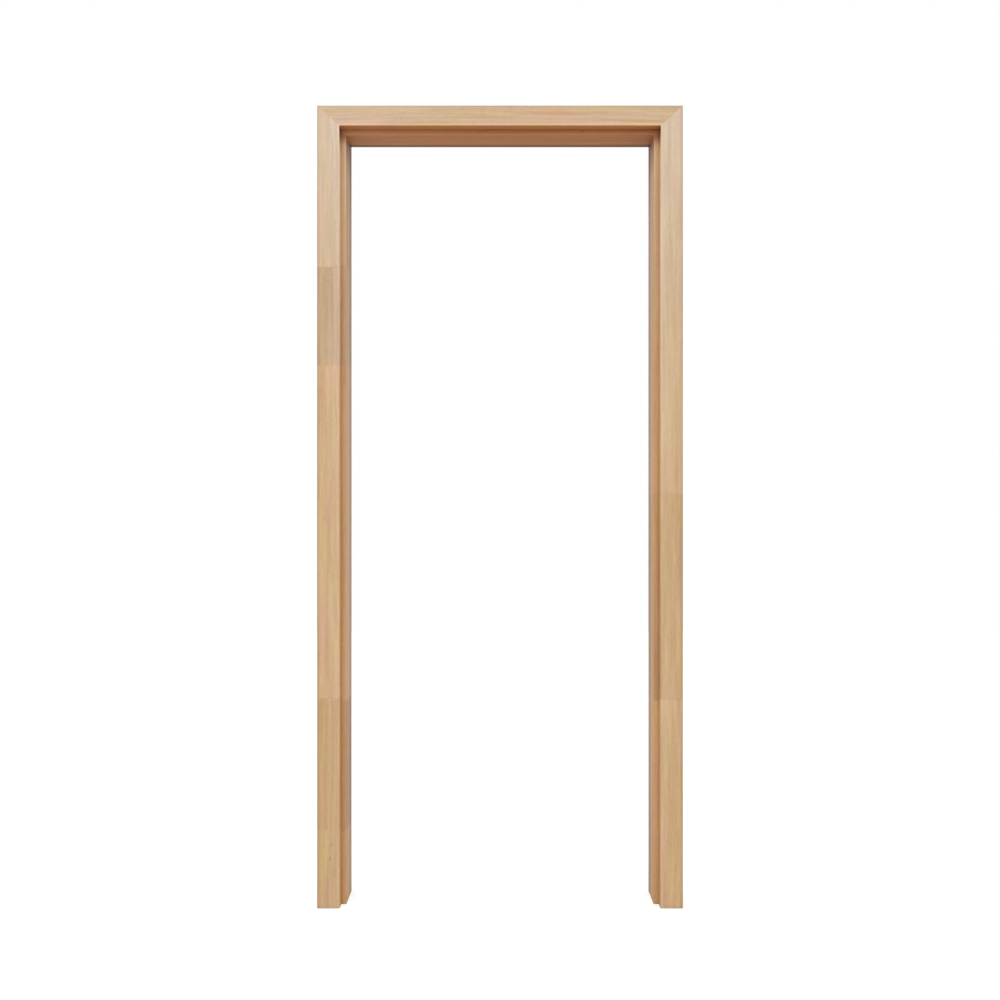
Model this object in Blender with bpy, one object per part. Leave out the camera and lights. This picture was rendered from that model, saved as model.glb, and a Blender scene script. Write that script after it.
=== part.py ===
"""A rebated wooden door frame: two legs and a head, mitred at the top and open at the floor.

Three mouldings run round the doorway. The front casing is an L: a face board, and behind its
inner edge a return that is the side of the rebate. The lining is a board whose front edge is
the stop and whose inner side is the reveal. The rear casing is a flat board with a long tongue
that slides in the lining to suit the wall. Dowels and screws hold the lining's mitres, and a
biscuit lies in each mitre of the casings.

X runs across the doorway, Y from the front of the frame to its back, and Z up. The origin is
on the floor, midway between the legs and midway through the frame. Sizes are in metres.

A section is drawn in two coordinates: "out", measured from the side of the rebate away from
the doorway, and "deep", measured from the front face towards the back.
"""

import math

import bmesh
import bpy
from mathutils import Matrix, Vector

# The rebate that takes the leaf, and the stop that stands proud of it
REBATE_WIDTH = 0.839
REBATE_HEIGHT = 2.047
REBATE_DEPTH = 0.040
STOP = 0.0135

# The wall that the frame clasps
WALL = 0.132

# Casings: the leg boards are a little wider than the head board
LEG_FACE = 0.059
HEAD_FACE = 0.053
CASING_T = 0.018
RELIEF_DEPTH = 0.0015
RELIEF_MARGIN = 0.007

# Lining board and the two saw kerfs that keep it flat
LINING_T = 0.034
KERF_WIDTH = 0.003
KERF_DEPTH = 0.005
KERF_INSET = 0.017

# Tongues on the casings and the grooves they enter
TONGUE_T = 0.008
FRONT_TONGUE = 0.012
FRONT_GROOVE = 0.013
REAR_TONGUE = 0.020
REAR_GROOVE = 0.030
TONGUE_STOP = 0.006

# Eased arrises
FACE_EASE = 0.002
STOP_EASE = 0.0015
BACK_EASE = 0.001
EASE_STEPS = 4

# Room left between two pieces that touch
GAP = 0.0003

# Fixings across each mitre of the lining
FIXING_PITCH = 0.014
DOWEL_R = 0.004
DOWEL_LENGTH = 0.030
DOWEL_CHAMFER = 0.0008
FLUTE_DEPTH = 0.00025
SCREW_R = 0.0024
SCREW_LENGTH = 0.070
SCREW_HEAD_R = 0.0048
SCREW_RIM = 0.0005
SCREW_TIP = 0.006
SCREW_TIP_R = 0.0004
RECESS_R = 0.0021
RECESS_LOBE = 0.0004
RECESS_DEPTH = 0.0016
RECESS_LOBES = 6
ROUND_SIDES = 24
SHARP_ANGLE = math.radians(35)

# Biscuits in the casings' mitres
BISCUIT_LENGTH = 0.047
BISCUIT_WIDTH = 0.015
BISCUIT_T = 0.004
BISCUIT_END = 0.003
BISCUIT_STEPS = 8

# How far a cutter runs past the face it opens
OVERCUT = 0.005

# Worked out from the sizes above
DEPTH = WALL + 2 * CASING_T
FRONT_Y = -DEPTH / 2
LINING_OUT = LINING_T - STOP
LINING_SEAT = REBATE_DEPTH + GAP
LINING_BACK = DEPTH - CASING_T - GAP
REAR_ROOT = DEPTH - CASING_T
FRONT_TONGUE_AT = LINING_OUT / 2
REAR_TONGUE_AT = LINING_OUT - LINING_T / 2
CASING_SLOPE = HEAD_FACE / LEG_FACE
LINING_SLOPE = 1.0
HANDS = {"left": -1, "right": 1}

# Colour, roughness and metallic value of each material
FINISHES = {
    "casing_oak": ((0.66, 0.43, 0.25), 0.5, 0.0),
    "lining_oak": ((0.56, 0.34, 0.18), 0.5, 0.0),
    "beech": ((0.72, 0.50, 0.30), 0.6, 0.0),
    "screw_steel": ((0.62, 0.60, 0.52), 0.35, 1.0),
}


def clear_objects():
    for old in list(bpy.data.objects):
        bpy.data.objects.remove(old)


def material(name):
    made = bpy.data.materials.get(name)
    if made is None:
        colour, roughness, metallic = FINISHES[name]
        made = bpy.data.materials.new(name)
        made.use_nodes = True
        shader = made.node_tree.nodes["Principled BSDF"]
        shader.inputs["Base Color"].default_value = (*colour, 1.0)
        shader.inputs["Roughness"].default_value = roughness
        shader.inputs["Metallic"].default_value = metallic
    return made


def add_object(name, bm, finish, parent, location, turned=False):
    """Turns a bmesh, which it uses up, into an object of the frame. A turned piece is shaded
    smooth, and a board keeps its flat faces."""
    bmesh.ops.recalc_face_normals(bm, faces=bm.faces)
    mesh = bpy.data.meshes.new(name)
    bm.to_mesh(mesh)
    bm.free()
    if turned:
        mesh.shade_smooth()
        mesh.set_sharp_from_angle(angle=SHARP_ANGLE)
    made = bpy.data.objects.new(name, mesh)
    made.location = location
    made.parent = parent
    if finish:
        mesh.materials.append(material(finish))
    bpy.context.scene.collection.objects.link(made)
    return made


def as_cutter(made):
    made.hide_render = True
    made.display_type = "WIRE"
    return made


def cut(made, cutter):
    """Takes the cutter's shape out of a piece"""
    boolean = made.modifiers.new("cut_" + cutter.name, "BOOLEAN")
    boolean.operation = "DIFFERENCE"
    boolean.solver = "EXACT"
    boolean.object = cutter


def sharp(points):
    """Corners that keep their edge"""
    return [(point, 0.0) for point in points]


def notch(centre, width, edge, floor):
    """The corners of a groove sunk from an edge down to its floor"""
    low = centre - width / 2
    high = centre + width / 2
    return [(low, edge), (low, floor), (high, floor), (high, edge)]


def turned_round(points):
    """The same points with out and deep exchanged"""
    return [(second, first) for first, second in points]


def eased(corners):
    """The outline through these corners, each rounded to its own radius"""
    outline = []
    for index, (corner, radius) in enumerate(corners):
        here = Vector(corner)
        if radius == 0:
            outline.append(here)
            continue
        back = (Vector(corners[index - 1][0]) - here).normalized()
        ahead = (Vector(corners[(index + 1) % len(corners)][0]) - here).normalized()
        half = back.angle(ahead) / 2
        centre = here + (back + ahead).normalized() * radius / math.sin(half)
        first = (here + back * radius / math.tan(half) - centre).normalized()
        last = (here + ahead * radius / math.tan(half) - centre).normalized()
        for step in range(EASE_STEPS + 1):
            outline.append(centre + first.slerp(last, step / EASE_STEPS) * radius)
    return outline


def tongue_root(centre, edge):
    """The two corners between which a tongue is drawn out"""
    return [(centre + TONGUE_T / 2, edge), (centre - TONGUE_T / 2, edge)]


def casing_section(inner, width, behind):
    """A casing board, drawn from its face back: two eased arrises, a back that is relieved
    where it bears on the wall, and then the corners behind its inner edge"""
    outer = inner + width
    relief_from = LINING_OUT + RELIEF_MARGIN
    relief_to = outer - RELIEF_MARGIN
    middle = (relief_from + relief_to) / 2
    relief = notch(middle, relief_to - relief_from, CASING_T, CASING_T - RELIEF_DEPTH)
    corners = [
        ((inner, 0.0), FACE_EASE),
        ((outer, 0.0), FACE_EASE),
        ((outer, CASING_T), BACK_EASE),
    ]
    return eased(corners + sharp(reversed(relief)) + sharp(behind))


def front_casing_section(width):
    """The L of the rebated casing: its return is the side of the rebate, and butts on the
    lining round the root of the tongue"""
    behind = [
        (LINING_OUT, CASING_T),
        (LINING_OUT, REBATE_DEPTH),
        *tongue_root(FRONT_TONGUE_AT, REBATE_DEPTH),
        (0.0, REBATE_DEPTH),
    ]
    return casing_section(0.0, width, behind)


def rear_casing_section(width):
    """The flat board of the rear casing, whose face looks the other way"""
    behind = [*tongue_root(REAR_TONGUE_AT, CASING_T), (-STOP, CASING_T)]
    return [(out, DEPTH - back) for out, back in casing_section(-STOP, width, behind)]


def lining_section():
    """The lining board. Its front edge is the stop, and under the casing that butts on it the
    edge lies back by the gap. It is grooved in both edges and kerfed on its wall side."""
    groove = TONGUE_T + 2 * GAP
    kerf_floor = LINING_OUT - KERF_DEPTH
    front_kerf = notch(LINING_SEAT + KERF_INSET, KERF_WIDTH, LINING_OUT, kerf_floor)
    rear_kerf = notch(LINING_BACK - KERF_INSET, KERF_WIDTH, LINING_OUT, kerf_floor)
    corners = [((-STOP, REBATE_DEPTH), STOP_EASE)]
    corners += sharp([(-GAP, REBATE_DEPTH), (-GAP, LINING_SEAT)])
    corners += sharp(notch(FRONT_TONGUE_AT, groove, LINING_SEAT, LINING_SEAT + FRONT_GROOVE))
    corners += sharp([(LINING_OUT, LINING_SEAT)])
    corners += sharp(turned_round(front_kerf) + turned_round(rear_kerf))
    corners += sharp([(LINING_OUT, LINING_BACK)])
    rear_groove = notch(REAR_TONGUE_AT, groove, LINING_BACK, LINING_BACK - REAR_GROOVE)
    corners += sharp(reversed(rear_groove))
    corners += sharp([(-STOP, LINING_BACK)])
    return eased(corners)


def mitre_room(slope):
    """How far each piece stops short of the mitre, measured up a leg"""
    return GAP / 2 * math.hypot(1, slope)


def leg_bmesh(section, hand, inner, slope):
    """A length from the floor up to the mitre, in the leg's own frame: x across, z up"""
    bm = bmesh.new()
    foot = []
    top = []
    for out, deep in section:
        mitre = REBATE_HEIGHT + inner + slope * (out - inner) - mitre_room(slope)
        foot.append(bm.verts.new((hand * out, deep, 0.0)))
        top.append(bm.verts.new((hand * out, deep, mitre)))
    close_prism(bm, foot, top)
    return bm


def head_bmesh(section, inner, slope):
    """A length between two mitres, in the head's own frame: x along, z up from the rebate"""
    bm = bmesh.new()
    left = []
    right = []
    for out, deep in section:
        reach = REBATE_WIDTH / 2 + inner + (out - inner) / slope - mitre_room(slope) / slope
        left.append(bm.verts.new((-reach, deep, out)))
        right.append(bm.verts.new((reach, deep, out)))
    close_prism(bm, left, right)
    return bm


def close_prism(bm, first, last):
    """Walls between two matching loops of vertices, and a cap on each"""
    count = len(first)
    for index in range(count):
        after = (index + 1) % count
        bm.faces.new((first[index], first[after], last[after], last[index]))
    bm.faces.new(list(reversed(first)))
    bm.faces.new(last)


def raise_tongue(bm, axis, span, root, length):
    """Draws a tongue out of the strip that starts at the depth root: backwards for a positive
    length. Along the axis it runs only within span, to leave the mitre free."""
    strip = tongue_strip(bm, root)
    direction = Vector((0.0, 0.0, 0.0))
    direction[axis] = 1.0
    pieces = [strip]
    for place in span:
        geometry = []
        for face in pieces:
            geometry += [face, *face.edges, *face.verts]
        found = bmesh.ops.bisect_plane(
            bm,
            geom=list(dict.fromkeys(geometry)),
            plane_co=direction * place,
            plane_no=direction,
        )
        pieces = [item for item in found["geom"] if isinstance(item, bmesh.types.BMFace)]
    middle = sum(span) / 2
    chosen = min(pieces, key=lambda face: abs(face.calc_center_median()[axis] - middle))
    raised = bmesh.ops.extrude_discrete_faces(bm, faces=[chosen])
    for vertex in raised["faces"][0].verts:
        vertex.co.y += length


def tongue_strip(bm, root):
    """The tongue's root: the face at this depth whose width is the tongue's"""
    flat = [face for face in bm.faces if all(abs(v.co.y - root) < GAP / 3 for v in face.verts)]
    return min(flat, key=lambda face: abs(strip_width(face) - TONGUE_T))


def strip_width(face):
    """The least side of the face's box, across its length"""
    sizes = []
    for axis in (0, 2):
        values = [vertex.co[axis] for vertex in face.verts]
        sizes.append(max(values) - min(values))
    return min(sizes)


def corner_place(hand, deep, out):
    """The point of a mitre at this distance out along a leg of the lining"""
    return Vector((hand * (REBATE_WIDTH / 2 + out), FRONT_Y + deep, REBATE_HEIGHT + out))


def add_casing(kind, section_of, inner, root, tongue, parent):
    """One casing round the doorway: its two legs and its head"""
    pieces = {}
    # The tongues end below the doorway's corner, where both are still straight
    tongue_top = REBATE_HEIGHT + inner - TONGUE_STOP
    for side, hand in HANDS.items():
        leg = leg_bmesh(section_of(LEG_FACE), hand, inner, CASING_SLOPE)
        raise_tongue(leg, 2, (0.0, tongue_top), root, tongue)
        foot = (hand * REBATE_WIDTH / 2, FRONT_Y, 0.0)
        pieces[side] = add_object(kind + "_casing_" + side, leg, "casing_oak", parent, foot)
    head = head_bmesh(section_of(HEAD_FACE), inner, CASING_SLOPE)
    reach = REBATE_WIDTH / 2 + inner - TONGUE_STOP
    raise_tongue(head, 0, (-reach, reach), root, tongue)
    corner = (0.0, FRONT_Y, REBATE_HEIGHT)
    pieces["head"] = add_object(kind + "_casing_head", head, "casing_oak", parent, corner)
    return pieces


def add_lining(parent):
    pieces = {}
    section = lining_section()
    for side, hand in HANDS.items():
        leg = leg_bmesh(section, hand, -STOP, LINING_SLOPE)
        foot = (hand * REBATE_WIDTH / 2, FRONT_Y, 0.0)
        pieces[side] = add_object("lining_" + side, leg, "lining_oak", parent, foot)
    head = head_bmesh(section, -STOP, LINING_SLOPE)
    corner = (0.0, FRONT_Y, REBATE_HEIGHT)
    pieces["head"] = add_object("lining_head", head, "lining_oak", parent, corner)
    return pieces


def ring_body(bm, rings, place):
    """Adds a body through rings of (radius, height) about its own z axis, closed at both ends.
    A radius may be a number or a function of the angle."""
    loops = []
    for radius, height in rings:
        loop = []
        for step in range(ROUND_SIDES):
            angle = math.tau * step / ROUND_SIDES
            reach = radius(angle) if callable(radius) else radius
            point = Vector((reach * math.cos(angle), reach * math.sin(angle), height))
            loop.append(bm.verts.new(place @ point))
        loops.append(loop)
    for lower, upper in zip(loops, loops[1:]):
        for step in range(ROUND_SIDES):
            after = (step + 1) % ROUND_SIDES
            bm.faces.new((lower[step], lower[after], upper[after], upper[step]))
    bm.faces.new(list(reversed(loops[0])))
    bm.faces.new(loops[-1])


def fluted(angle):
    """A dowel's radius: one flute for every second side"""
    return DOWEL_R - FLUTE_DEPTH * (1 - math.cos(ROUND_SIDES / 2 * angle)) / 2


def lobed(angle):
    """The radius of the screw's drive recess"""
    return RECESS_R + RECESS_LOBE * math.cos(RECESS_LOBES * angle)


def dowel_rings():
    half = DOWEL_LENGTH / 2
    tip = DOWEL_R - FLUTE_DEPTH - DOWEL_CHAMFER
    return [
        (tip, -half),
        (fluted, -half + DOWEL_CHAMFER),
        (fluted, half - DOWEL_CHAMFER),
        (tip, half),
    ]


def screw_rings():
    """From the tip up to the rim of the head, and down into the recess"""
    neck = -SCREW_RIM - (SCREW_HEAD_R - SCREW_R)
    return [
        (SCREW_TIP_R, -SCREW_LENGTH),
        (SCREW_R, SCREW_TIP - SCREW_LENGTH),
        (SCREW_R, neck),
        (SCREW_HEAD_R, -SCREW_RIM),
        (SCREW_HEAD_R, 0.0),
        (lobed, 0.0),
        (lobed, -RECESS_DEPTH),
    ]


def screw_hole_rings():
    """The pilot, the countersink and a mouth that opens past the wood"""
    neck = -SCREW_RIM - (SCREW_HEAD_R - SCREW_R)
    return [
        (SCREW_R + GAP, -SCREW_LENGTH - GAP),
        (SCREW_R + GAP, neck),
        (SCREW_HEAD_R + GAP, -SCREW_RIM),
        (SCREW_HEAD_R + GAP, OVERCUT),
    ]


def add_corner_fixings(side, hand, lining, parent):
    """Dowels square to the lining's mitre and screws down through the head, in one row"""
    half = DOWEL_LENGTH / 2 + 2 * GAP
    dowel_hole = [(DOWEL_R + GAP, -half), (DOWEL_R + GAP, half)]
    across = Matrix.Rotation(hand * -math.radians(45), 4, "Y")
    row_middle = (LINING_SEAT + FRONT_GROOVE + LINING_BACK - REAR_GROOVE) / 2
    cutter = bmesh.new()
    for end, way in {"front": -1, "back": 1}.items():
        dowel_at = row_middle + way * 1.5 * FIXING_PITCH
        screw_at = row_middle + way * 0.5 * FIXING_PITCH
        middle = corner_place(hand, dowel_at, REAR_TONGUE_AT)
        dowel = bmesh.new()
        ring_body(dowel, dowel_rings(), across)
        add_object("dowel_" + side + "_" + end, dowel, "beech", parent, middle, turned=True)
        ring_body(cutter, dowel_hole, Matrix.Translation(middle) @ across)
        mouth = corner_place(hand, screw_at, REAR_TONGUE_AT)
        mouth.z = REBATE_HEIGHT + LINING_OUT - GAP
        screw = bmesh.new()
        ring_body(screw, screw_rings(), Matrix.Identity(4))
        add_object("screw_" + side + "_" + end, screw, "screw_steel", parent, mouth, turned=True)
        ring_body(cutter, screw_hole_rings(), Matrix.Translation(mouth))
    holes = as_cutter(add_object("holes_" + side, cutter, None, parent, (0.0, 0.0, 0.0)))
    cut(lining[side], holes)
    cut(lining["head"], holes)


def biscuit_bmesh(room):
    """A flat plate between two arcs with blunt ends, its length along x and its thickness in
    y, grown all round by room"""
    half_length = BISCUIT_LENGTH / 2 + room
    half_width = BISCUIT_WIDTH / 2 + room
    half_end = BISCUIT_END / 2 + room
    rise = half_width - half_end
    radius = (half_length**2 + rise**2) / (2 * rise)
    sweep = math.asin(half_length / radius)
    outline = []
    for turn in (1, -1):
        for step in range(BISCUIT_STEPS + 1):
            angle = sweep * (1 - 2 * step / BISCUIT_STEPS)
            height = radius * math.cos(angle) - radius + half_width
            outline.append((turn * radius * math.sin(angle), turn * height))
    bm = bmesh.new()
    half_t = BISCUIT_T / 2 + room
    near = [bm.verts.new((x, -half_t, z)) for x, z in outline]
    far = [bm.verts.new((x, half_t, z)) for x, z in outline]
    close_prism(bm, near, far)
    return bm


def add_biscuits(kind, casing, inner, deep, parent):
    """A biscuit lying along each mitre of a casing, in the middle of the mitre's length"""
    for side, hand in HANDS.items():
        middle = (
            hand * (REBATE_WIDTH / 2 + inner + LEG_FACE / 2),
            FRONT_Y + deep,
            REBATE_HEIGHT + inner + HEAD_FACE / 2,
        )
        lean = -hand * math.atan(CASING_SLOPE)
        name = kind + "_biscuit_" + side
        biscuit = add_object(name, biscuit_bmesh(0.0), "beech", parent, middle)
        slot = as_cutter(add_object("slot_" + name, biscuit_bmesh(GAP), None, parent, middle))
        for made in (biscuit, slot):
            made.rotation_euler.y = lean
        cut(casing[side], slot)
        cut(casing["head"], slot)


def build():
    clear_objects()
    frame = bpy.data.objects.new("door_frame", None)
    bpy.context.scene.collection.objects.link(frame)
    front = add_casing("front", front_casing_section, 0.0, REBATE_DEPTH, FRONT_TONGUE, frame)
    rear = add_casing("rear", rear_casing_section, -STOP, REAR_ROOT, -REAR_TONGUE, frame)
    lining = add_lining(frame)
    for side, hand in HANDS.items():
        add_corner_fixings(side, hand, lining, frame)
    add_biscuits("front", front, 0.0, CASING_T / 2, frame)
    add_biscuits("rear", rear, -STOP, DEPTH - CASING_T / 2, frame)


build()
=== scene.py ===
"""The looks of a rebated door frame in pale oak: two legs and a head, mitred at the top.

Every board is dressed as solid oak. Its growth rings, fibres and pores are worked out in three
dimensions, so that they run along the board, wrap round its arrises and end as rings on the feet.
The legs are jointed end to end from lengths of differing tone, as the photograph shows them.

Sizes are in metres. X runs across the doorway, Y from the front to the back, and Z up.
"""

import math

import bmesh
import bpy
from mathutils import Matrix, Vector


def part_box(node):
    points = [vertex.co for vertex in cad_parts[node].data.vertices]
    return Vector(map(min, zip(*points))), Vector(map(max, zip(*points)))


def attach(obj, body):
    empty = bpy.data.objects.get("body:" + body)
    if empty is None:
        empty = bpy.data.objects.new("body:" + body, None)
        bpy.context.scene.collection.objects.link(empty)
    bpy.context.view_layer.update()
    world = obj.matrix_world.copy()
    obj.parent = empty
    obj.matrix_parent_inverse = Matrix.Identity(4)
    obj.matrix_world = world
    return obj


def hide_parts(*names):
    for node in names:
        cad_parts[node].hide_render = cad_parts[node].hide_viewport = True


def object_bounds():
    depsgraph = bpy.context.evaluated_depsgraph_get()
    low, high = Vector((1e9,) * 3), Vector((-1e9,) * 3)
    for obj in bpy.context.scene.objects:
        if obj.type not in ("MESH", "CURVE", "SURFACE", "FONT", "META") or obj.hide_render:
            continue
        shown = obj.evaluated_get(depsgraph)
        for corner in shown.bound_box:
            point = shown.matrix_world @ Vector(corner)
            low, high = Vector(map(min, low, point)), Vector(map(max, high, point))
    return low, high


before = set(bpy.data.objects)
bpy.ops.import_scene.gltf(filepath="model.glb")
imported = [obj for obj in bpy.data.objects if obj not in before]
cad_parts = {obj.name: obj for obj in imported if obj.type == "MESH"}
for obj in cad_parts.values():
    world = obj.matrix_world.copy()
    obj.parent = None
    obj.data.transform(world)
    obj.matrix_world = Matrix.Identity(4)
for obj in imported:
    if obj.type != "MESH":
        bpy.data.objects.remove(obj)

CAD_LOW, CAD_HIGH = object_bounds()
FRAME_HEIGHT = CAD_HIGH.z
FRONT_Y = CAD_LOW.y

# The view that the photograph was taken from. The horizon is a row of its pixels.
PHOTO_SIDE = 1000
PHOTO_HORIZON = 507.0
CAMERA_DISTANCE = 3.632
CAMERA_HEIGHT = 1.0497
LENS = 50.0
SENSOR = 36.0

# Points this close together are one, and so are faces this close to one plane
WELD = 0.00001
FLAT_ANGLE = math.radians(0.5)

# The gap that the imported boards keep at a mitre, and how oblique the face of a mitre is at least
MITRE_GAP = 0.0003
OBLIQUE = 0.3

# Edges sharper than the first angle are rounded, and edges sharper than the second are shaded sharp
SOFTENED_ANGLE = math.radians(50)
SMOOTH_ANGLE = math.radians(35)
EDGE_SOFTENING = 0.00015
EDGE_SEGMENTS = 2
FLAT_WEIGHT = 100

# Where the mouldings run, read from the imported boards. "Out" is measured from the side of the
# rebate away from the doorway, and "deep" from the front face towards the back.
REBATE_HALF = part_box("front_casing_right")[0].x
REBATE_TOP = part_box("front_casing_head")[0].z
STOP = REBATE_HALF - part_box("lining_right")[0].x
STOP_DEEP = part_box("lining_right")[0].y - FRONT_Y
LINING_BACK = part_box("lining_right")[1].y - FRONT_Y
DEPTH = CAD_HIGH.y - FRONT_Y
LEG_FACE = CAD_HIGH.x - REBATE_HALF
HEAD_FACE = CAD_HIGH.z - REBATE_TOP


def seen(red, green, blue):
    """A colour written as it is seen, in steps of 1/255, as the linear colour of a shader"""
    return tuple(((part / 255 + 0.055) / 1.055) ** 2.4 for part in (red, green, blue)) + (1.0,)


# Tones of the oak, from the palest to the deepest
PALE = seen(217, 195, 172)
CREAM = seen(212, 186, 158)
BUFF = seen(210, 181, 147)
STRAW = seen(209, 176, 138)
TAN = seen(201, 173, 142)
HONEY = seen(203, 170, 131)
AMBER = seen(200, 166, 125)

# What multiplies the tone of a length on the reveal or in the rebate: partly the wood's own tone,
# partly painted light and shade
AS_IT_IS = (1.0, 1.0, 1.0, 1.0)
DULLER = (0.86, 0.84, 0.82, 1.0)
BROWNER = (0.84, 0.79, 0.75, 1.0)
DUSKY = (0.92, 0.78, 0.66, 1.0)
DARKER = (0.82, 0.72, 0.58, 1.0)
BRIGHTER = (1.12, 1.18, 1.13, 1.0)
RIPER = (1.05, 1.02, 0.94, 1.0)
WARMER = (1.00, 0.96, 0.88, 1.0)

# The lengths that each leg is jointed from: where each ends, its tones from its lower to its upper
# end, and what multiplies them on the reveal and in the rebate, partly painted light and shade. The
# head is one length, its tones from left to right.
LENGTHS = {
    "left": [
        (0.206, [HONEY], [WARMER], [RIPER]),
        (0.549, [AMBER, HONEY], [BROWNER], [WARMER]),
        (1.420, [STRAW], [AS_IT_IS], [WARMER, AS_IT_IS, AS_IT_IS]),
        (1.676, [TAN], [WARMER], [AS_IT_IS, BRIGHTER]),
        # At the top the reveal is painted darker, as shade under the head
        (FRAME_HEIGHT, [CREAM, PALE], [DARKER], [BRIGHTER]),
    ],
    "right": [
        (0.549, [AMBER, STRAW], [WARMER], [AS_IT_IS]),
        (1.083, [HONEY], [AS_IT_IS], [DULLER, AS_IT_IS]),
        # Towards the top the reveal is painted duskier, as shade under the head
        (FRAME_HEIGHT, [STRAW, BUFF, CREAM, PALE], [AS_IT_IS, DUSKY], [AS_IT_IS, RIPER]),
    ],
}
HEAD_TONES = [seen(215, 188, 161), seen(207, 177, 143), seen(206, 176, 144)]

# How much of what multiplies the rebate also reaches the stop
STOP_SHARE = 0.45

# Half the width of a joint's line, and how dark it is
JOINT_HALF = 0.0005
JOINT_DARKNESS = 0.30

# The boards of a leg have joints of their own, which look in line with the front casing's from the
# front: how deep each kind of board shows them
JOINTS_DEEP = {"front_casing": 0.0, "lining": 0.060, "rear_casing": 0.160}

# What multiplies a board's tone on its front faces and on those that look into the doorway: painted
# light and shade, which darkens and browns the rebates, the stops, the head's underside and the rear
# casing's edge in the doorway as shade
FACING_LIGHT_AND_SHADE = {
    ("front_casing", "leg"): ((1.014, 1.043, 1.03, 1.0), (1.03, 0.92, 0.71, 1.0)),
    ("front_casing", "head"): ((1.03, 1.06, 1.08, 1.0), (0.96, 0.61, 0.39, 1.0)),
    ("lining", "leg"): ((1.03, 0.965, 0.885, 1.0), AS_IT_IS),
    ("lining", "head"): ((1.01, 0.68, 0.46, 1.0), AS_IT_IS),
    ("rear_casing", "leg"): (AS_IT_IS, (0.47, 0.40, 0.30, 1.0)),
    ("rear_casing", "head"): (AS_IT_IS, (0.40, 0.245, 0.10, 1.0)),
}

# The specular level of the oak
HOW_GLOSSY = {"leg": 0.25, "head": 0.12}

# The legs' front faces turn paler from their outer edge to the doorway
FACE_BY_DOORWAY = (1.015, 1.05, 1.12, 1.0)
FACE_OUTSIDE = (0.975, 0.935, 0.88, 1.0)

# What multiplies the lining's tone on the reveal, by its depth from the front of the frame. It is
# painted light and shade: the legs' reveals carry a lighter band and grow darker towards the back,
# and the head's underside is painted dark and brown as shade.
REVEAL_LIGHT_AND_SHADE = {
    "leg": [
        (STOP_DEEP, (1.03, 0.92, 0.82, 1.0)),
        (0.074, (1.03, 0.93, 0.84, 1.0)),
        (0.086, (1.12, 1.06, 1.04, 1.0)),
        (0.098, (1.12, 1.06, 1.04, 1.0)),
        (0.106, (0.88, 0.84, 0.83, 1.0)),
        (LINING_BACK, (0.72, 0.67, 0.65, 1.0)),
    ],
    "head": [
        (STOP_DEEP, (0.88, 0.50, 0.23, 1.0)),
        (0.100, (0.89, 0.50, 0.23, 1.0)),
        (0.118, (0.93, 0.51, 0.25, 1.0)),
        (0.138, (0.91, 0.54, 0.26, 1.0)),
        (0.143, (0.47, 0.27, 0.10, 1.0)),
        (LINING_BACK, (0.47, 0.27, 0.10, 1.0)),
    ],
}

# The edges of the mouldings: how far from each the tone changes, and what multiplies it there. The
# arris and the edge of the stop carry a painted highlight, the corner of the rebate painted shade,
# and the outside edge turns darker and greyer.
EDGE_HIGHLIGHTS_AND_SHADE = {
    "leg": {
        "arris": (0.007, (1.12, 1.05, 1.03, 1.0)),
        "outside": (0.009, (0.76, 0.79, 0.83, 1.0)),
        "corner": (0.007, (0.92, 0.90, 0.88, 1.0)),
        "stop": (0.004, (1.10, 1.05, 1.04, 1.0)),
    },
    "head": {
        "arris": (0.008, (1.33, 1.22, 1.17, 1.0)),
        "outside": (0.006, (0.82, 0.88, 0.93, 1.0)),
        "corner": (0.007, (0.84, 0.75, 0.68, 1.0)),
        "stop": (0.0055, (1.25, 1.45, 1.60, 1.0)),
    },
}

# The lowest part of the legs is greyer: how high this reaches, and what multiplies the tone there
FOOT_GREYING = 0.006
FOOT_COLOUR = (0.76, 0.89, 1.06, 1.0)

# Painted shade darkens the corners of the legs under the head: which faces, how far below the head
# it begins and where it is full, from what depth on, and what multiplies the tone
PAINTED_SHADE_UNDER_HEAD = {
    "front_casing": [("faces_doorway", 0.070, 0.004, 0.0, (0.28, 0.06, 0.01, 1.0))],
    "lining": [
        ("faces_front", 0.041, 0.020, 0.0, (0.93, 0.66, 0.50, 1.0)),
        ("faces_doorway", 0.130, 0.020, 0.0, (0.60, 0.42, 0.36, 1.0)),
        ("faces_doorway", 0.300, 0.020, 0.128, (0.44, 0.27, 0.22, 1.0)),
    ],
    "rear_casing": [("faces_doorway", 0.280, 0.0, 0.0, (0.37, 0.17, 0.13, 1.0))],
}
DEPTH_BLUR = 0.012

# Small marks: the middle of each across, into and along its board, half its width, half its
# length, and what multiplies the tone
MARKS = {
    ("front_casing", "left"): [
        (0.0195, 0.0, 1.658, 0.0025, 0.0045, (0.84, 0.82, 0.81, 1.0)),
        (0.0205, 0.0, 0.165, 0.0032, 0.0052, (0.84, 0.83, 0.78, 1.0)),
        (0.0250, 0.0, 0.131, 0.0030, 0.0065, (0.83, 0.80, 0.76, 1.0)),
    ],
    ("front_casing", "head"): [
        (0.0340, 0.0, -0.046, 0.0150, 0.0090, (0.96, 0.93, 0.89, 1.0)),
        (0.0360, 0.0, 0.135, 0.0070, 0.0750, (1.00, 0.90, 0.82, 1.0)),
    ],
    ("lining", "left"): [(-0.0130, STOP_DEEP, 0.046, 0.0090, 0.0200, (1.10, 0.96, 1.08, 1.0))],
    ("lining", "head"): [(-0.0040, STOP_DEEP, 0.218, 0.0040, 0.0035, (0.78, 0.70, 0.58, 1.0))],
}


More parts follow.
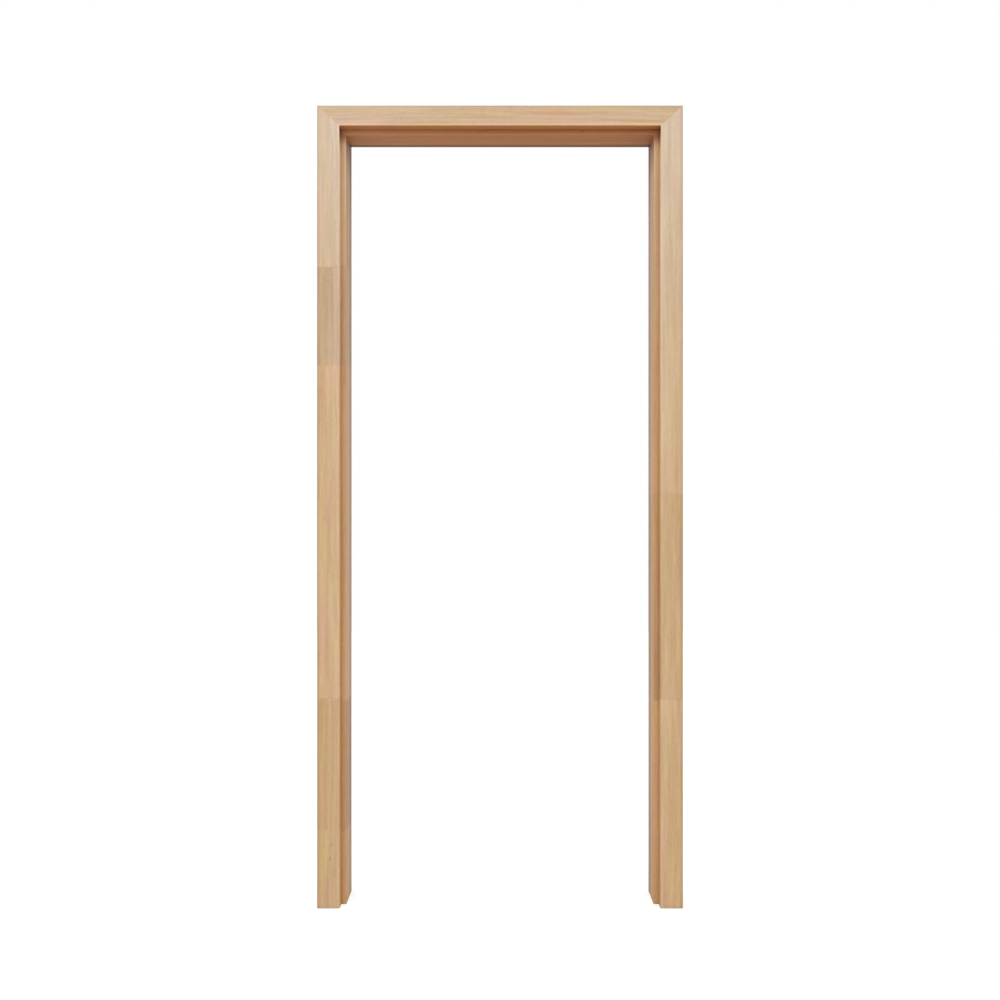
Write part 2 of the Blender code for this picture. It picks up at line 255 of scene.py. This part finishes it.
def edge_marks(kind, member):
    """(out, deep, reach, colour) for each marked edge of a moulding of a leg or of the head: its
    painted highlight or shade, or its darker and greyer outside edge
    """
    outside = HEAD_FACE if member == "head" else LEG_FACE
    edges = {
        "front_casing": [("arris", 0.0, 0.0), ("outside", outside, 0.0), ("corner", 0.0, STOP_DEEP)],
        "lining": [("corner", 0.0, STOP_DEEP), ("stop", -STOP, STOP_DEEP)],
        "rear_casing": [],
    }[kind]
    return [(out, deep) + EDGE_HIGHLIGHTS_AND_SHADE[member][name] for name, out, deep in edges]


# Growth rings round a pith that lies outside the board, and the shares of a ring at which its early
# wood is gone and full, and its late wood begins and is full
RING_PITCH = 0.0065
RING_WANDER = 0.016
PITH_OUT = 0.085
PITH_DEEP = 0.140
EARLY_WOOD = (0.35, 0.10)
LATE_WOOD = (0.25, 0.95)

# How far each length's grain is moved on from the last, and the moves between one board and the next
SHIFT = (0.37, 0.23, 1.71)
SHIFTS_A_BOARD = 3.0

# The streaks of the grain: how wide and how long each is, its detail and its distortion
STREAKS = {
    "wander": (0.07, 0.55, 2.0, 0.0),
    "hue": (0.020, 0.16, 2.0, 0.0),
    "broad": (0.016, 0.42, 2.0, 0.0),
    "middle": (0.0065, 0.16, 2.0, 0.3),
    "fine": (0.0016, 0.024, 3.0, 0.0),
    "ticks": (0.0040, 0.016, 1.0, 0.0),
    "pores": (0.0005, 0.008, 1.0, 0.0),
}

# The noise at which ticks and pores begin to show and are full, and the share of the pores that is
# kept outside early wood
TICKS_SHOW = (0.90, 1.0)
PORES_SHOW = (0.62, 0.85)
LATE_PORES = 0.2

# What the grain does to the tone: its lightest and its darkest streaks, how much each kind of
# streak darkens it, and the two hues that it wanders between
LIGHT_STREAK = (1.14, 1.165, 1.19, 1.0)
DARK_STREAK = (0.74, 0.65, 0.56, 1.0)
GRAIN_SHARES = {
    "broad": 0.30,
    "middle": 0.26,
    "fine": 0.23,
    "late": 0.09,
    "ticks": 0.13,
    "pores": 0.42,
}
PINKER = (1.022, 0.960, 1.070, 1.0)
YELLOWER = (0.985, 1.020, 0.890, 1.0)

# The wall side of each board is planed and left bare, and the feet show sawn end grain
BARE = (0.97, 0.97, 0.98, 1.0)
END_GRAIN = (0.84, 0.78, 0.70, 1.0)
END_RINGS = 0.35

# The roughness of finished and of bare oak, and what its fibres and pores add to it
ROUGH_FINISHED = 0.50
ROUGH_BARE = 0.75
ROUGH_FIBRES = 0.08
ROUGH_PORES = 0.2

# The height of the fibres beside the depth of the pores, and the strength and depth of the relief
FIBRE_HEIGHT = 0.25
OAK_RELIEF = (0.35, 0.0002)

# The range that noise mostly stays in
NOISE_RANGE = (0.3, 0.7)


class Nodes:
    """Adds nodes to a tree. An input is a number, a colour or another node's output. add and vector
    return the new node, feed sets one input, and split returns three outputs. The other methods
    return one."""

    def __init__(self, tree):
        self.tree = tree

    def add(self, kind, inputs, **settings):
        node = self.tree.nodes.new(kind)
        for name, value in settings.items():
            setattr(node, name, value)
        for name, value in inputs.items():
            self.feed(node.inputs[name], value)
        return node

    def feed(self, socket, value):
        if isinstance(value, bpy.types.NodeSocket):
            self.tree.links.new(value, socket)
        else:
            socket.default_value = value

    def math(self, operation, *values):
        return self.add("ShaderNodeMath", dict(enumerate(values)), operation=operation).outputs[0]

    def vector(self, operation, *values):
        return self.add("ShaderNodeVectorMath", dict(enumerate(values)), operation=operation)

    def combine(self, x, y, z):
        return self.add("ShaderNodeCombineXYZ", {0: x, 1: y, 2: z}).outputs[0]

    def split(self, vector):
        return list(self.add("ShaderNodeSeparateXYZ", {0: vector}).outputs)

    def remap(self, value, low, high, to_low=0.0, to_high=1.0, smooth=False):
        """The value's place between low and high, clamped"""
        inputs = {
            "Value": value,
            "From Min": low,
            "From Max": high,
            "To Min": to_low,
            "To Max": to_high,
        }
        how = "SMOOTHSTEP" if smooth else "LINEAR"
        return self.add("ShaderNodeMapRange", inputs, interpolation_type=how).outputs[0]

    def mix(self, share, first, second, blend="MIX"):
        """Two colours mixed, or the first multiplied by the second, by a share"""
        node = self.tree.nodes.new("ShaderNodeMix")
        node.data_type = "RGBA"
        node.blend_type = blend
        # Its sockets for colours are the seventh and the eighth, and the result is the third
        self.feed(node.inputs[0], share)
        self.feed(node.inputs[6], first)
        self.feed(node.inputs[7], second)
        return node.outputs[2]

    def tinted(self, colour, tint, share=1.0):
        return self.mix(share, colour, tint, "MULTIPLY")

    def streaks(self, place, across, along, detail=2.0, distortion=0.0):
        """Noise whose spots are across wide and along long, its usual range stretched to 0..1"""
        scale = (1 / across, 1 / across, 1 / along)
        inputs = {
            "Vector": self.vector("MULTIPLY", place, scale).outputs[0],
            "Scale": 1.0,
            "Detail": detail,
            "Distortion": distortion,
        }
        noise = self.add("ShaderNodeTexNoise", inputs).outputs["Fac"]
        return self.remap(noise, *NOISE_RANGE)

    def relief(self, height, strength, depth):
        """The normal of a surface whose relief is this height times this depth"""
        inputs = {"Height": height, "Strength": strength, "Distance": depth}
        return self.add("ShaderNodeBump", inputs).outputs[0]

    def ramp(self, share, stops):
        """The colour for a share from 0 to 1, given the (place, colour) stops on the way"""
        node = self.add("ShaderNodeValToRGB", {0: share})
        elements = node.color_ramp.elements
        while len(elements) < len(stops):
            elements.new(0.5)
        for element, (place, colour) in zip(elements, stops):
            element.position = place
            element.color = colour
        return node.outputs[0]


# The part of a normal along an axis, or against it, at which a face begins to count as facing that
# way and counts in full. The end of a board has to face along it more squarely.
ALONG_AXIS = (0.3, 0.7)
AGAINST_AXIS = (-0.3, -0.7)
END_ON = (0.8, 0.9)

# The shares of its size at which a mark is gone and full
MARK_FADES = (1.25, 0.35)


class Board:
    """Where a point of a board lies and which way it faces, as outputs of its material's nodes"""

    def __init__(self, nodes, kind, side):
        self.kind = kind
        self.side = side
        self.member = "head" if side == "head" else "leg"
        at = nodes.add("ShaderNodeTexCoord", {})
        x, y, z = nodes.split(at.outputs["Object"])
        normal_x, normal_y, normal_z = nodes.split(at.outputs["Normal"])
        if self.member == "head":
            self.along = x
            self.out = nodes.math("SUBTRACT", z, REBATE_TOP)
            faces_out = normal_z
            faces_along = normal_x
        else:
            self.along = z
            self.out = nodes.math("SUBTRACT", nodes.math("ABSOLUTE", x), REBATE_HALF)
            faces_out = nodes.math("MULTIPLY", normal_x, nodes.math("SIGN", x))
            faces_along = normal_z
        # The height that a point of the front casing has where this point shows from the front
        nearer = CAMERA_DISTANCE / (CAMERA_DISTANCE + JOINTS_DEEP[kind])
        self.height_seen = nodes.math("MULTIPLY_ADD", z, nearer, CAMERA_HEIGHT * (1 - nearer))
        self.deep = nodes.math("SUBTRACT", y, FRONT_Y)
        self.is_end = nodes.remap(nodes.math("ABSOLUTE", faces_along), *END_ON)
        self.faces_doorway = nodes.remap(faces_out, *AGAINST_AXIS)
        self.faces_out = nodes.remap(faces_out, *ALONG_AXIS)
        self.faces_back = nodes.remap(normal_y, *ALONG_AXIS)
        self.faces_front = nodes.remap(normal_y, *AGAINST_AXIS)

    def distance(self, nodes, out, deep):
        """How far a point lies from a line along the board"""
        away = nodes.combine(
            nodes.math("SUBTRACT", self.out, out),
            nodes.math("SUBTRACT", self.deep, deep),
            0.0,
        )
        return nodes.vector("LENGTH", away).outputs["Value"]

    def mark(self, nodes, out, deep, along, half_width, half_length):
        """1 in the middle of a small long spot, and 0 past its rim"""
        place = nodes.combine(self.out, self.deep, self.along)
        away = nodes.vector("SUBTRACT", place, (out, deep, along)).outputs[0]
        size = (half_width, half_width, half_length)
        shares = nodes.vector("DIVIDE", away, size).outputs[0]
        share = nodes.vector("LENGTH", shares).outputs["Value"]
        return nodes.remap(share, *MARK_FADES, smooth=True)


def new_material(name):
    """A material, the nodes of its tree and its shader"""
    made = bpy.data.materials.new(name)
    made.use_nodes = True
    return made, Nodes(made.node_tree), made.node_tree.nodes["Principled BSDF"]


def joints(nodes, board):
    """How many joints lie before a point, and 1 on the line of a joint"""
    passed = 0.0
    line = 0.0
    for place, *_ in LENGTHS.get(board.side, [])[:-1]:
        passed = nodes.math("ADD", passed, nodes.math("GREATER_THAN", board.height_seen, place))
        away = nodes.math("ABSOLUTE", nodes.math("SUBTRACT", board.height_seen, place))
        line = nodes.math("MAXIMUM", line, nodes.math("LESS_THAN", away, JOINT_HALF))
    return passed, line


def grain(nodes, board, shift):
    """The streaks of the oak, each from 0 to 1"""
    axes = (board.out, board.deep, board.along)
    moved = (nodes.math("MULTIPLY_ADD", shift, step, axis) for step, axis in zip(SHIFT, axes))
    place = nodes.combine(*moved)
    parts = {name: nodes.streaks(place, *sizes) for name, sizes in STREAKS.items()}
    from_pith = board.distance(nodes, PITH_OUT, PITH_DEEP)
    radius = nodes.math("MULTIPLY_ADD", parts["wander"], RING_WANDER, from_pith)
    phase = nodes.math("FRACT", nodes.math("DIVIDE", nodes.math("ADD", radius, shift), RING_PITCH))
    early = nodes.remap(phase, *EARLY_WOOD, smooth=True)
    kept = nodes.math("MULTIPLY_ADD", early, 1 - LATE_PORES, LATE_PORES)
    parts["pores"] = nodes.math("MULTIPLY", nodes.remap(parts["pores"], *PORES_SHOW), kept)
    parts["ticks"] = nodes.remap(parts["ticks"], *TICKS_SHOW)
    parts["late"] = nodes.remap(phase, *LATE_WOOD, smooth=True)
    return parts


def spread(start, end, colours):
    """(place, colour) stops that spread these colours evenly over a stretch; one fills it"""
    colours = colours * 2 if len(colours) == 1 else colours
    step = (end - start) / (len(colours) - 1)
    return [(start + step * index, colour) for index, colour in enumerate(colours)]


def length_tones(nodes, board):
    """The tone of the length that a point is in, and what multiplies it on the reveal and in the
    rebate, partly as painted light and shade"""
    if board.member == "head":
        place = nodes.remap(board.along, CAD_LOW.x, CAD_HIGH.x)
        return nodes.ramp(place, spread(0.0, 1.0, HEAD_TONES)), AS_IT_IS, AS_IT_IS
    ramps = ([], [], [])
    start = 0.0
    for end, *columns in LENGTHS[board.side]:
        stretch = ((start + JOINT_HALF) / FRAME_HEIGHT, (end - JOINT_HALF) / FRAME_HEIGHT)
        for stops, colours in zip(ramps, columns):
            stops += spread(*stretch, colours)
        start = end
    place = nodes.math("DIVIDE", board.height_seen, FRAME_HEIGHT)
    return [nodes.ramp(place, stops) for stops in ramps]


def facing_tone(nodes, board):
    """The oak's tone by its length of board, with painted light and shade by the way it faces and by
    its depth in the reveal
    """
    tone, on_reveal, in_rebate = length_tones(nodes, board)
    if board.kind == "front_casing":
        tone = nodes.tinted(tone, in_rebate, board.faces_doorway)
    elif board.kind == "lining":
        on_stop = nodes.math("MULTIPLY", board.faces_front, STOP_SHARE)
        tone = nodes.tinted(tone, in_rebate, on_stop)
        by_depth = [(deep / DEPTH, colour) for deep, colour in REVEAL_LIGHT_AND_SHADE[board.member]]
        depth_light_and_shade = nodes.ramp(nodes.math("DIVIDE", board.deep, DEPTH), by_depth)
        # The reveal's painted light and shade by its depth
        tone = nodes.tinted(tone, nodes.tinted(on_reveal, depth_light_and_shade), board.faces_doorway)
    # Painted light and shade by the way each face looks
    front, inner = FACING_LIGHT_AND_SHADE[board.kind, board.member]
    outer = nodes.mix(board.faces_front, AS_IT_IS, front)
    return nodes.tinted(tone, nodes.mix(board.faces_doorway, outer, inner))


def shade_leg(nodes, board, tone):
    """A leg's tone with its face paler by the doorway, and its foot greyer"""
    if board.kind == "front_casing":
        across = nodes.remap(board.out, 0.0, LEG_FACE)
        face = nodes.mix(across, FACE_BY_DOORWAY, FACE_OUTSIDE)
        tone = nodes.tinted(tone, face, board.faces_front)
    near_floor = nodes.remap(board.along, 0.0, FOOT_GREYING, 1.0, 0.0)
    near_floor = nodes.math("MULTIPLY", near_floor, nodes.math("SUBTRACT", 1.0, board.is_end))
    return nodes.tinted(tone, FOOT_COLOUR, near_floor)


def shade_under_head(nodes, board, tone):
    """A leg's tone with the painted shade in its corners under the head"""
    for facing, begins, full, deep, colour in PAINTED_SHADE_UNDER_HEAD[board.kind]:
        share = nodes.remap(board.along, REBATE_TOP - begins, REBATE_TOP - full, smooth=True)
        share = nodes.math("MULTIPLY", share, getattr(board, facing))
        if deep:
            behind = nodes.remap(board.deep, deep - DEPTH_BLUR, deep + DEPTH_BLUR)
            share = nodes.math("MULTIPLY", share, behind)
        tone = nodes.tinted(tone, colour, share)
    return tone


def board_tone(nodes, board):
    """The oak's tone before its grain, with the painted highlights and shade of its edges, its paler
    face and greyer foot, the painted shade under the head, and its small marks
    """
    tone = facing_tone(nodes, board)
    # Painted highlights and shade along the edges, and the darker, greyer outside edge
    for out, deep, reach, colour in edge_marks(board.kind, board.member):
        near = nodes.remap(board.distance(nodes, out, deep), 0.0, reach, 1.0, 0.0)
        tone = nodes.tinted(tone, colour, near)
    if board.member == "leg":
        tone = shade_leg(nodes, board, tone)
        tone = shade_under_head(nodes, board, tone)
    for *spot, colour in MARKS.get((board.kind, board.side), []):
        tone = nodes.tinted(tone, colour, board.mark(nodes, *spot))
    return tone


def bare_side(board):
    """1 on the side of a board that its wall hides"""
    return {
        "front_casing": board.faces_back,
        "lining": board.faces_out,
        "rear_casing": board.faces_front,
    }[board.kind]


def oak(name, kind, side, seed):
    """Oak whose grain runs along its board"""
    made, nodes, shader = new_material(name)
    board = Board(nodes, kind, side)
    passed, joint_line = joints(nodes, board)
    parts = grain(nodes, board, nodes.math("ADD", passed, seed))
    bare = bare_side(board)

    tone = board_tone(nodes, board)
    tone = nodes.tinted(tone, nodes.mix(parts["hue"], YELLOWER, PINKER))
    tone = nodes.tinted(tone, BARE, bare)
    tone = nodes.tinted(tone, END_GRAIN, board.is_end)
    dark = nodes.math("MULTIPLY", joint_line, JOINT_DARKNESS)
    for streak, share in GRAIN_SHARES.items():
        dark = nodes.math("MULTIPLY_ADD", parts[streak], share, dark)
    rings = nodes.math("MULTIPLY", parts["late"], board.is_end)
    dark = nodes.math("MULTIPLY_ADD", rings, END_RINGS, dark)
    colour = nodes.mix(dark, nodes.tinted(tone, LIGHT_STREAK), nodes.tinted(tone, DARK_STREAK))

    rough = nodes.remap(bare, 0.0, 1.0, ROUGH_FINISHED, ROUGH_BARE)
    rough = nodes.math("MULTIPLY_ADD", parts["fine"], ROUGH_FIBRES, rough)
    rough = nodes.math("MULTIPLY_ADD", parts["pores"], ROUGH_PORES, rough)
    fibres = nodes.math("MULTIPLY", parts["fine"], FIBRE_HEIGHT)
    height = nodes.math("SUBTRACT", fibres, parts["pores"])
    nodes.feed(shader.inputs["Base Color"], colour)
    nodes.feed(shader.inputs["Roughness"], rough)
    nodes.feed(shader.inputs["Normal"], nodes.relief(height, *OAK_RELIEF))
    shader.inputs["Specular IOR Level"].default_value = HOW_GLOSSY[board.member]
    return made


def close_mitres(bm, axis):
    """Runs a board on to the middle of the gap at each mitre, because the real joints are tight"""
    moved = {}
    for face in bm.faces:
        across, along = face.normal.x, face.normal.z
        if min(abs(across), abs(along)) > OBLIQUE:
            step = MITRE_GAP / 2 / (across if axis == "X" else along)
            for vert in face.verts:
                moved[vert] = step
    for vert, step in moved.items():
        vert.co["XYZ".index(axis)] += step


def add_piece(name, bm, material, node_name):
    """Turns a bmesh, which it uses up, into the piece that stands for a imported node"""
    mesh = bpy.data.meshes.new(name)
    bm.to_mesh(mesh)
    bm.free()
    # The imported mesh's own normals no longer fit, because its shape has changed
    if "custom_normal" in mesh.attributes:
        mesh.attributes.remove(mesh.attributes["custom_normal"])
    mesh.materials.append(material)
    mesh.shade_smooth()
    mesh.set_sharp_from_angle(angle=SMOOTH_ANGLE)
    piece = bpy.data.objects.new(name, mesh)
    bpy.context.scene.collection.objects.link(piece)
    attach(piece, "root")
    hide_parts(node_name)
    return piece


def dress_board(node_name, axis, material):
    """A board in place of a packed one: the same form, its corners joined and its sharp edges
    softened a little"""
    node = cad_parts[node_name]
    bm = bmesh.new()
    bm.from_mesh(node.data)
    bmesh.ops.remove_doubles(bm, verts=bm.verts, dist=WELD)
    bmesh.ops.dissolve_limit(bm, angle_limit=FLAT_ANGLE, verts=bm.verts, edges=bm.edges)
    bmesh.ops.recalc_face_normals(bm, faces=bm.faces)
    close_mitres(bm, axis)
    board = add_piece("oak_" + node_name, bm, material, node_name)
    soften = board.modifiers.new("softened_edges", "BEVEL")
    soften.width = EDGE_SOFTENING
    soften.segments = EDGE_SEGMENTS
    soften.limit_method = "ANGLE"
    soften.angle_limit = SOFTENED_ANGLE
    # The flat faces are shaded flat right up to their rounded arrises
    flatten = board.modifiers.new("flat_faces", "WEIGHTED_NORMAL")
    flatten.mode = "FACE_AREA"
    flatten.weight = FLAT_WEIGHT
    flatten.keep_sharp = True


def dress_frame():
    """Dresses all nine boards, each in oak of its own"""
    seed = 0.0
    for kind in ("front_casing", "lining", "rear_casing"):
        for side in ("left", "right", "head"):
            seed += SHIFTS_A_BOARD
            name = kind + "_" + side
            axis = "X" if side == "head" else "Z"
            dress_board(name, axis, oak("oak_" + name, kind, side, seed))


# The way the grain runs in the beech of the fixings: out from the doorway, in, and up
DOWEL_GRAIN = (0.7071, 0.0, -0.7071)
BISCUIT_GRAIN = (0.0, 0.0, 1.0)
BEECH_PALE = seen(222, 188, 150)
BEECH_DEEP = seen(203, 162, 120)
BEECH_FLECK = (0.80, 0.70, 0.61, 1.0)

# The flecks and fibres of the beech: how wide and how long they are, and their detail
FLECKS = (0.0005, 0.0035, 1.0)
FIBRES = (0.0012, 0.030, 3.0)
FLECKS_SHOW = (0.55, 0.90)
ROUGH_BEECH = 0.58
ROUGH_FLECKS = 0.10
BEECH_RELIEF = (0.3, 0.0001)


def beech(name, way):
    """Beech with its short dark flecks, its grain running this way"""
    made, nodes, shader = new_material(name)
    x, y, z = nodes.split(nodes.add("ShaderNodeTexCoord", {}).outputs["Object"])
    at = nodes.combine(nodes.math("ABSOLUTE", x), y, z)
    across = (-way[2], 0.0, way[0])
    along = nodes.vector("DOT_PRODUCT", at, way).outputs["Value"]
    place = nodes.combine(nodes.vector("DOT_PRODUCT", at, across).outputs["Value"], y, along)
    flecks = nodes.remap(nodes.streaks(place, *FLECKS), *FLECKS_SHOW)
    fibres = nodes.streaks(place, *FIBRES)
    tone = nodes.tinted(nodes.mix(fibres, BEECH_PALE, BEECH_DEEP), BEECH_FLECK, flecks)
    rough = nodes.math("MULTIPLY_ADD", flecks, ROUGH_FLECKS, ROUGH_BEECH)
    nodes.feed(shader.inputs["Base Color"], tone)
    nodes.feed(shader.inputs["Roughness"], rough)
    nodes.feed(shader.inputs["Normal"], nodes.relief(fibres, *BEECH_RELIEF))
    return made


# Zinc plate, and how wide and how long its patches and its crystals are
ZINC_PALE = seen(214, 206, 178)
ZINC_DEEP = seen(190, 184, 166)
PATCHES = (0.0030, 0.0060)
CRYSTALS = (0.0004, 0.0004)
ROUGH_ZINC = 0.28
ROUGH_CRYSTALS = 0.15


def zinc_plate():
    """Yellow-passivated zinc on steel, whose tint and gloss wander a little"""
    made, nodes, shader = new_material("zinc_plated_steel")
    at = nodes.add("ShaderNodeTexCoord", {}).outputs["Object"]
    tone = nodes.mix(nodes.streaks(at, *PATCHES), ZINC_PALE, ZINC_DEEP)
    rough = nodes.math("MULTIPLY_ADD", nodes.streaks(at, *CRYSTALS), ROUGH_CRYSTALS, ROUGH_ZINC)
    nodes.feed(shader.inputs["Base Color"], tone)
    nodes.feed(shader.inputs["Roughness"], rough)
    shader.inputs["Metallic"].default_value = 1.0
    return made


# The screws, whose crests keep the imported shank's radius. The thread runs along a share of each
# screw's length, with this many rings of points to a turn, and the power makes its ridge narrow.
THREAD_PITCH = 0.0030
THREAD_ROOT = 0.0016
THREAD_SHARE = 0.62
THREAD_STEPS = 8
RIDGE_POWER = 3
TIP_LENGTH = 0.006
TIP_R = 0.0004


def thread_radius(turns, crest):
    """A screw's radius at this many turns of its thread: a narrow ridge on a round root"""
    root = min(THREAD_ROOT, crest)
    ridge = max(0.0, math.cos(math.tau * turns)) ** RIDGE_POWER
    return root + (crest - root) * ridge


def bearing(vert, centre):
    """The angle at which a point lies round an upright axis"""
    return math.atan2(vert.co.y - centre.y, vert.co.x - centre.x)


def cut_shank(bm, low, centre):
    """Takes the shank off a packed screw, and returns the rim round which it was cut, in order"""
    shank = [vert for vert in bm.verts if vert.co.z < low.z + TIP_LENGTH + WELD]
    bmesh.ops.delete(bm, geom=shank, context="VERTS")
    rim = {vert for edge in bm.edges if edge.is_boundary for vert in edge.verts}
    return sorted(rim, key=lambda vert: bearing(vert, centre))


def draw_thread(bm, rim, low, high, centre):
    """Draws a threaded shank down from the rim to its tip, ring by ring. The first ring is round."""
    crest = max((vert.co.xy - centre.xy).length for vert in rim)
    angles = [bearing(vert, centre) for vert in rim]
    length = (high.z - low.z) * THREAD_SHARE
    top = low.z + length
    step = THREAD_PITCH / THREAD_STEPS
    upper = rim
    for index in range(int(length / step) + 1):
        z = top - index * step
        reach = min(crest, TIP_R + (crest - TIP_R) * (z - low.z) / TIP_LENGTH)
        ring = []
        for angle in angles:
            turns = (z - low.z) / THREAD_PITCH - angle / math.tau
            radius = reach if index == 0 else thread_radius(turns, reach)
            place = (centre.x + radius * math.cos(angle), centre.y + radius * math.sin(angle), z)
            ring.append(bm.verts.new(place))
        for side in range(len(ring)):
            after = (side + 1) % len(ring)
            bm.faces.new((upper[side], upper[after], ring[after], ring[side]))
        upper = ring
    bm.faces.new(upper)


def threaded_screw(node_name, material):
    """A countersunk screw in place of a packed one: its head and recess are kept, and the shank
    under them is drawn anew with its thread"""
    low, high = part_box(node_name)
    centre = (low + high) / 2
    bm = bmesh.new()
    bm.from_mesh(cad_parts[node_name].data)
    bmesh.ops.remove_doubles(bm, verts=bm.verts, dist=WELD)
    draw_thread(bm, cut_shank(bm, low, centre), low, high, centre)
    bmesh.ops.recalc_face_normals(bm, faces=bm.faces)
    add_piece("threaded_" + node_name, bm, material, node_name)


def dress_fixings():
    """Beech on the dowels and biscuits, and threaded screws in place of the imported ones"""
    dowel_beech = beech("dowel_beech", DOWEL_GRAIN)
    biscuit_beech = beech("biscuit_beech", BISCUIT_GRAIN)
    steel = zinc_plate()
    for name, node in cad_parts.items():
        if name.startswith("dowel"):
            node.material_slots[0].material = dowel_beech
        elif name.startswith(("front_biscuit", "rear_biscuit")):
            node.material_slots[0].material = biscuit_beech
        elif name.startswith("screw"):
            threaded_screw(name, steel)


def shown_white(nodes):
    """1 for the rays that see the background: those of the camera, of gloss and of glass"""
    path = nodes.add("ShaderNodeLightPath", {}).outputs
    direct = nodes.math("MAXIMUM", path["Is Camera Ray"], path["Is Glossy Ray"])
    return nodes.math("MAXIMUM", direct, path["Is Transmission Ray"])


WHITE = (1.0, 1.0, 1.0, 1.0)
WORLD_LIGHT = 0.80


def make_world():
    """A white world, which lights the frame a little less than it shows"""
    world = bpy.data.worlds.new("studio")
    world.use_nodes = True
    bpy.context.scene.world = world
    nodes = Nodes(world.node_tree)
    lit = world.node_tree.nodes["Background"]
    lit.inputs["Color"].default_value = WHITE
    nodes.feed(lit.inputs["Strength"], nodes.remap(shown_white(nodes), 0.0, 1.0, WORLD_LIGHT, 1.0))


# The floor lies half a millimetre under the feet. Its own glow makes it show white.
FLOOR_REACH = 8.0
FLOOR_Z = -0.0005
FLOOR_TONE = (0.50, 0.50, 0.50, 1.0)
FLOOR_ROUGHNESS = 0.9
FLOOR_GLOW = 0.60


def make_floor():
    mesh = bpy.data.meshes.new("floor")
    corners = [(-1, -1), (1, -1), (1, 1), (-1, 1)]
    places = [(FLOOR_REACH * x, FLOOR_REACH * y, FLOOR_Z) for x, y in corners]
    mesh.from_pydata(places, [], [(0, 1, 2, 3)])
    floor = bpy.data.objects.new("floor", mesh)
    bpy.context.scene.collection.objects.link(floor)
    made, nodes, shader = new_material("pale_floor")
    shader.inputs["Base Color"].default_value = FLOOR_TONE
    shader.inputs["Roughness"].default_value = FLOOR_ROUGHNESS
    shader.inputs["Emission Color"].default_value = WHITE
    glow = nodes.math("MULTIPLY", shown_white(nodes), FLOOR_GLOW)
    nodes.feed(shader.inputs["Emission Strength"], glow)
    mesh.materials.append(made)


# What each lamp gives, and in degrees how soft it is, how high it stands and how far it is turned
# from straight in front. Two soft lamps light the front, and a level one the back alone.
LAMPS = {
    "left_lamp": (0.79, 30, 40, -15),
    "right_lamp": (0.55, 30, 40, 15),
    "back_lamp": (0.80, 1, 0, 180),
}


def make_lights():
    for name, (strength, *degrees) in LAMPS.items():
        softness, height, turn = (math.radians(angle) for angle in degrees)
        lamp = bpy.data.lights.new(name, "SUN")
        lamp.energy = strength
        lamp.angle = softness
        held = bpy.data.objects.new(name, lamp)
        held.rotation_euler = (math.radians(90) - height, 0.0, turn)
        # A level lamp would glance off the reveals, which it only grazes
        held.visible_glossy = height > 0
        bpy.context.scene.collection.objects.link(held)


def make_camera():
    lens = bpy.data.cameras.new("camera")
    lens.lens = LENS
    lens.sensor_width = SENSOR
    lens.shift_y = (PHOTO_HORIZON - PHOTO_SIDE / 2) / PHOTO_SIDE
    camera = bpy.data.objects.new("camera", lens)
    camera.location = (0.0, FRONT_Y - CAMERA_DISTANCE, CAMERA_HEIGHT)
    camera.rotation_euler = (math.radians(90), 0.0, 0.0)
    bpy.context.scene.collection.objects.link(camera)
    bpy.context.scene.camera = camera


dress_frame()
dress_fixings()
make_world()
make_floor()
make_lights()
make_camera()
bpy.context.scene.view_settings.view_transform = "Standard"
